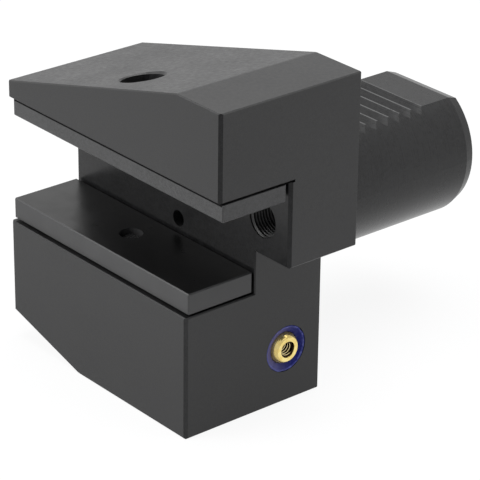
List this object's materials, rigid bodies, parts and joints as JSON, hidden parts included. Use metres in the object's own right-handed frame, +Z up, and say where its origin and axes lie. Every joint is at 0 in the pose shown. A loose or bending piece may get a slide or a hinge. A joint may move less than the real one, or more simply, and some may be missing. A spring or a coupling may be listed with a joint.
{
  "type": "radial tool holder",
  "caption": "Radial turning tool holder: block with a tool slot, fixed upper jaw, screw-driven clamping plate, swivelling coolant nozzle and a round shank with a serrated flat.",
  "frame": {"origin": "on the shank's axis, in the plane of the flange's rear contact face", "axes": "+Y along the shank away from the block, +X along the tool slot towards the coolant nozzle, +Z up towards the serrated flat"},
  "size_m": [0.085, 0.1065, 0.0907],
  "materials": {
    "black_steel": "matt black oxide on ground steel",
    "screw_steel": "black oxide, slightly oily",
    "bright_steel": "bright ground steel",
    "brass": "bright turned brass",
    "blue_plastic": "smooth dark blue",
    "seal_rubber": "matt black"
  },
  "bodies": {
    "holder": {"holder_body": "black_steel", "support_plate": "black_steel", "support_plate_screw": "screw_steel", "support_plate_pin_1": "bright_steel", "support_plate_pin_2": "bright_steel", "return_spring": "bright_steel", "nozzle_seat_ring": "blue_plastic", "nozzle_seal": "seal_rubber", "coolant_inlet_plug": "screw_steel", "shank_seal": "seal_rubber"},
    "clamp": {"clamping_plate": "black_steel", "return_screw": "screw_steel"},
    "nozzle": {"nozzle_ball": "brass"},
    "clamp_screw_1": {"clamp_screw_1": "screw_steel"},
    "clamp_screw_2": {"clamp_screw_2": "screw_steel"},
    "clamp_screw_3": {"clamp_screw_3": "screw_steel"},
    "clamp_screw_4": {"clamp_screw_4": "screw_steel"}
  },
  "joints": [
    {"name": "clamp_slide", "type": "slide", "parent": "holder", "child": "clamp", "axis": [0, 0, 1], "range_m": [-0.0003, 0.0045], "deforming": ["return_spring"]},
    {"name": "nozzle_swivel", "type": "hinge", "parent": "holder", "child": "nozzle", "pos_m": [0.028, -0.0112, -0.0282], "axis": [0, 1, 0], "range_deg": [-15, 15]},
    {"name": "clamp_screw_1_turn", "type": "hinge", "parent": "clamp", "child": "clamp_screw_1", "pos_m": [-0.0333, -0.032, -0.022], "axis": [0, 0, 1], "range_deg": [-72.5, 1080.5]},
    {"name": "clamp_screw_2_turn", "type": "hinge", "parent": "clamp", "child": "clamp_screw_2", "pos_m": [-0.0193, -0.032, -0.022], "axis": [0, 0, 1], "range_deg": [-72.5, 1080.5]},
    {"name": "clamp_screw_3_turn", "type": "hinge", "parent": "clamp", "child": "clamp_screw_3", "pos_m": [0.0067, -0.032, -0.022], "axis": [0, 0, 1], "range_deg": [-72.5, 1080.5]},
    {"name": "clamp_screw_4_turn", "type": "hinge", "parent": "clamp", "child": "clamp_screw_4", "pos_m": [0.0207, -0.032, -0.022], "axis": [0, 0, 1], "range_deg": [-72.5, 1080.5]}
  ],
  "couplings": [
    {"joint": "clamp_screw_1_turn", "follows": "clamp_slide", "rad_per_m": 4188.8},
    {"joint": "clamp_screw_2_turn", "follows": "clamp_slide", "rad_per_m": 4188.8},
    {"joint": "clamp_screw_3_turn", "follows": "clamp_slide", "rad_per_m": 4188.8},
    {"joint": "clamp_screw_4_turn", "follows": "clamp_slide", "rad_per_m": 4188.8}
  ]
}
